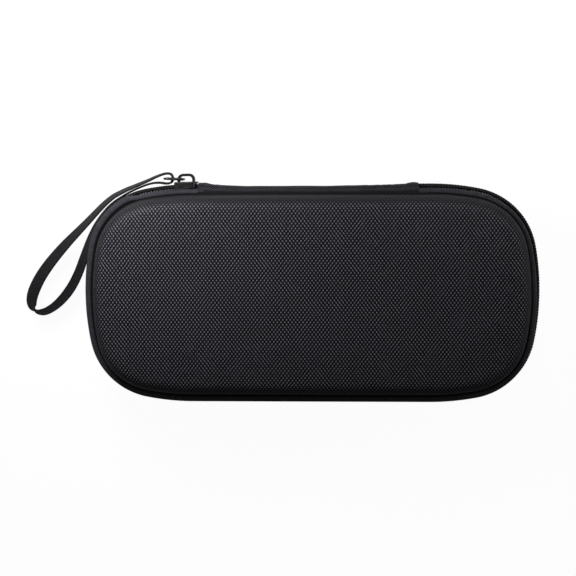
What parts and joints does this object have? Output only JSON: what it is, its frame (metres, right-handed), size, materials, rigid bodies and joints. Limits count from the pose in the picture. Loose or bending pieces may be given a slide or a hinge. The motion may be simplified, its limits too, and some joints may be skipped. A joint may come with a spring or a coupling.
{
  "type": "console carrying case",
  "caption": "Hard moulded carrying case for a handheld games console: two shells on a fabric spine, closed by a zip with a wrist strap on its puller.",
  "frame": {"origin": "on the rear face, under the middle of the case measured over the zip coil", "axes": "+Z out of the front face, X along the case, +Y towards the fabric spine"},
  "size_m": [0.2954, 0.1334, 0.045],
  "materials": {
    "shell_fabric": "coarse two-tone woven cloth moulded over foam",
    "zip_tape": "fine herringbone tape",
    "zip_coil": "black nylon coil",
    "binding": "folded binding tape",
    "spine_fabric": "woven cloth strip",
    "lining": "brushed lining",
    "slider_metal": "black lacquered die casting and wire",
    "strap_webbing": "flat woven webbing",
    "pocket_mesh": "open knitted mesh",
    "elastic": "ribbed elastic",
    "hook_and_loop": "hook and loop tape"
  },
  "bodies": {
    "tray": {"rear_shell": "shell_fabric", "rear_zip_tape": "zip_tape", "rear_zip_coil": "zip_coil", "rear_rim_binding": "binding", "spine_cover": "spine_fabric", "spine_lining": "lining", "upper_holding_strap": "elastic", "lower_holding_strap": "elastic", "loop_patch": "hook_and_loop", "hook_patch": "hook_and_loop"},
    "lid": {"front_shell": "shell_fabric", "front_zip_tape": "zip_tape", "front_zip_coil": "zip_coil", "front_rim_binding": "binding", "mesh_pocket": "pocket_mesh", "mesh_pocket_hem": "elastic"},
    "slider": {"slider_body": "slider_metal", "slider_bridge": "slider_metal"},
    "ring": {"puller_ring": "slider_metal", "wrist_strap": "strap_webbing"}
  },
  "joints": [
    {"name": "lid_hinge", "type": "hinge", "parent": "tray", "child": "lid", "pos_m": [0, 0.06425, 0.0225], "axis": [-1, 0, 0], "range_deg": [0, 180], "deforming": ["front_zip_tape", "front_zip_coil", "spine_cover", "spine_lining"]},
    {"name": "zip_slide", "type": "hinge", "parent": "tray", "child": "slider", "pos_m": [-0.06775, -0.07984, 0.0225], "axis": [0, 0, 1], "range_deg": [0, 7], "deforming": ["rear_zip_coil"]},
    {"name": "ring_flip", "type": "hinge", "parent": "slider", "child": "ring", "pos_m": [-0.07276, 0.06547, 0.0225], "axis": [0, 0, -1], "range_deg": [0, 160], "deforming": ["wrist_strap"]}
  ]
}
